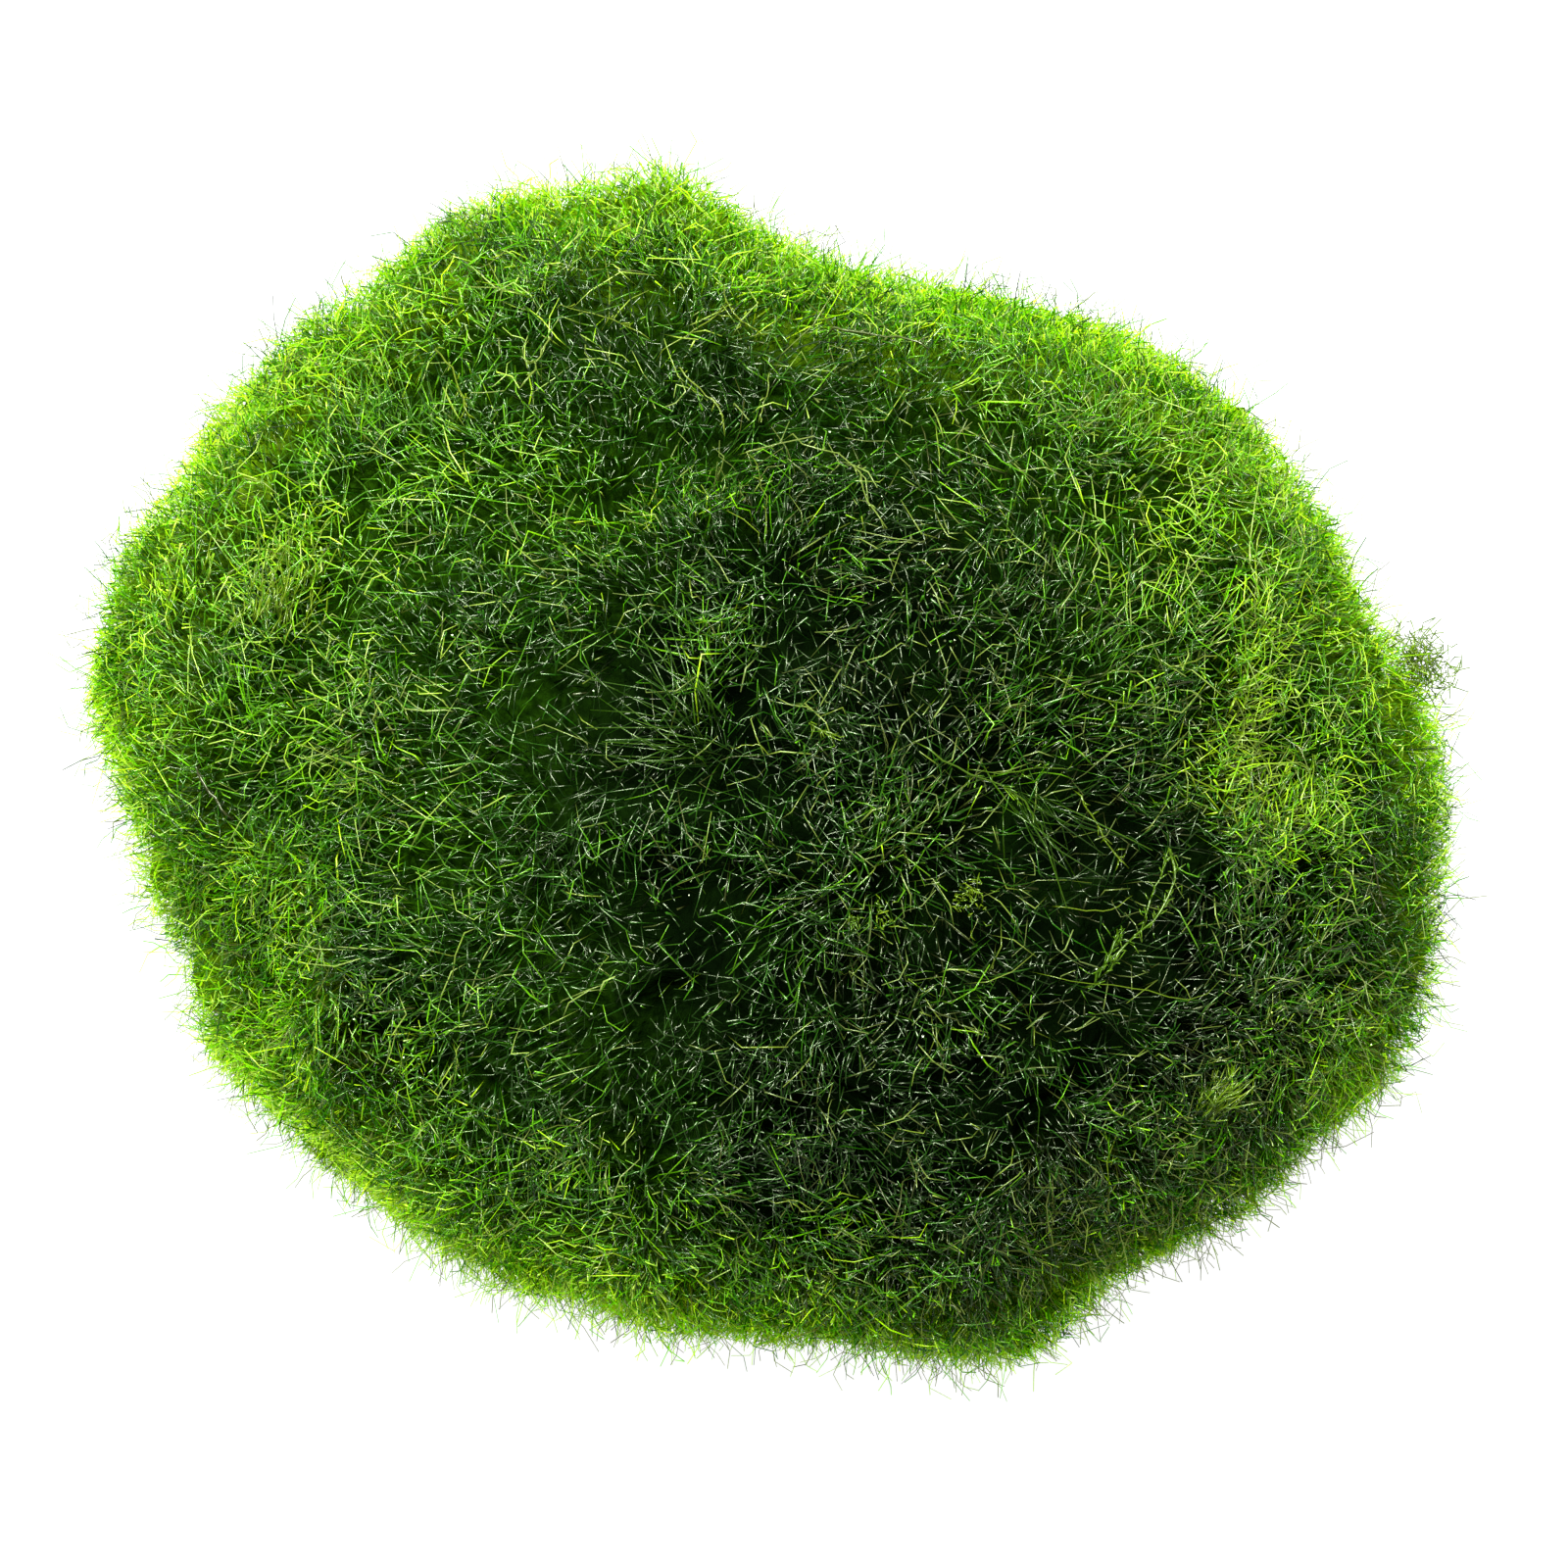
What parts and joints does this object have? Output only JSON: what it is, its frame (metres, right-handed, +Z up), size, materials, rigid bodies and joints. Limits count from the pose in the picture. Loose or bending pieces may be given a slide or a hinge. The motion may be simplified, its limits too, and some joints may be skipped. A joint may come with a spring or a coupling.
{
  "type": "marimo moss ball",
  "caption": "Lumpy egg-shaped ball of green filamentous alga for an aquarium, with soft lobes and creases and a small flat spot to rest on.",
  "frame": {"origin": "on the surface that the ball rests on, under the middle of its bounding box", "axes": "+X along the long side, +Y across it, +Z up"},
  "size_m": [0.052, 0.0454, 0.039],
  "materials": {
    "moss": "soft, fine green filaments with a slight wet gloss"
  },
  "bodies": {
    "root": {"moss_ball": "moss"}
  },
  "joints": []
}
